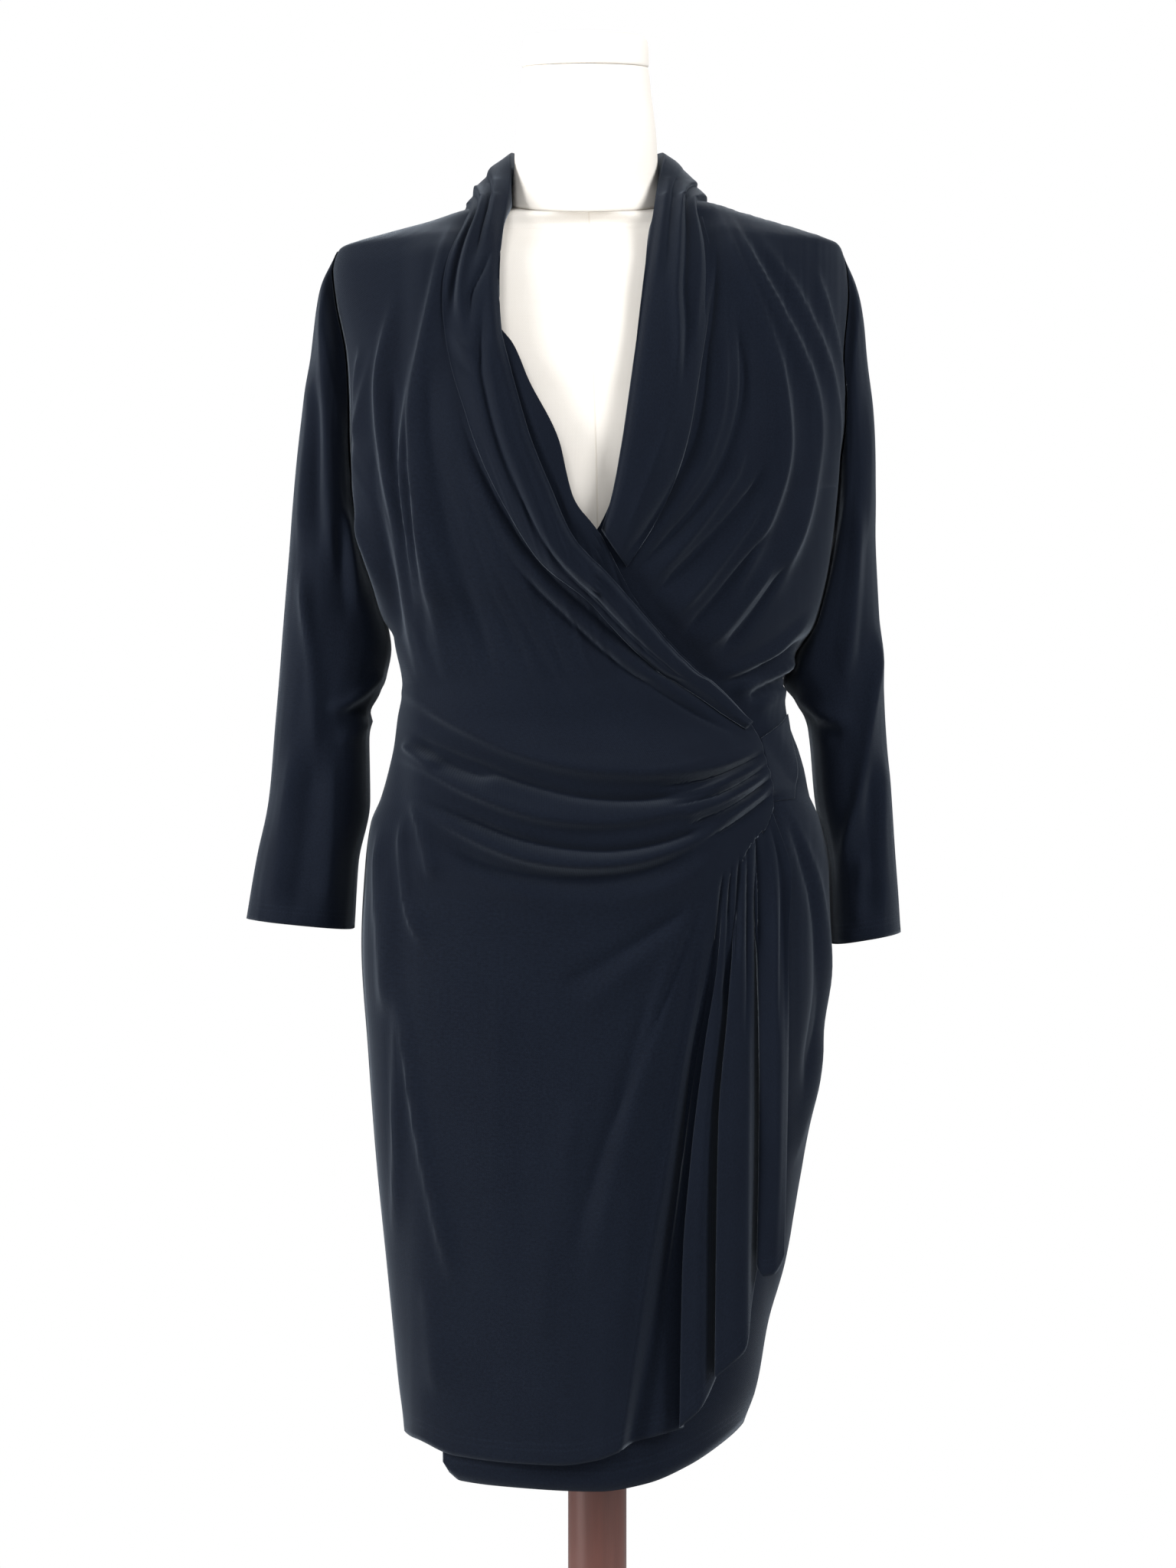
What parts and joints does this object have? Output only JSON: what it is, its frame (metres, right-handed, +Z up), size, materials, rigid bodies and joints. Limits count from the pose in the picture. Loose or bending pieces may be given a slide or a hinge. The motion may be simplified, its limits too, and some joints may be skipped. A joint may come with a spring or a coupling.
{
  "type": "wrap dress on dress form",
  "caption": "Draped jersey wrap dress with shawl collar, three-quarter sleeves and a pleated cascade at the left hip, worn on a limbless dress form with a pole and a round base.",
  "frame": {"origin": "on the floor under the pole's axis, at the middle of the base's underside", "axes": "+Z up, the dress's front faces -Y, the wearer's left is +X"},
  "size_m": [0.494, 0.37, 1.549],
  "materials": {
    "jersey": "matt near-black jersey knit",
    "linen": "cream linen stretched over a hard shell",
    "stand_wood": "dark red-brown varnish"
  },
  "bodies": {
    "root": {"right_front": "jersey", "left_front": "jersey", "back": "jersey", "waist_tab": "jersey", "collar_right": "jersey", "collar_left": "jersey", "sleeve_right": "jersey", "sleeve_left": "jersey", "form_torso": "linen", "form_neck": "linen", "form_neck_cap": "linen", "form_pole": "stand_wood", "form_base": "stand_wood"}
  },
  "joints": []
}
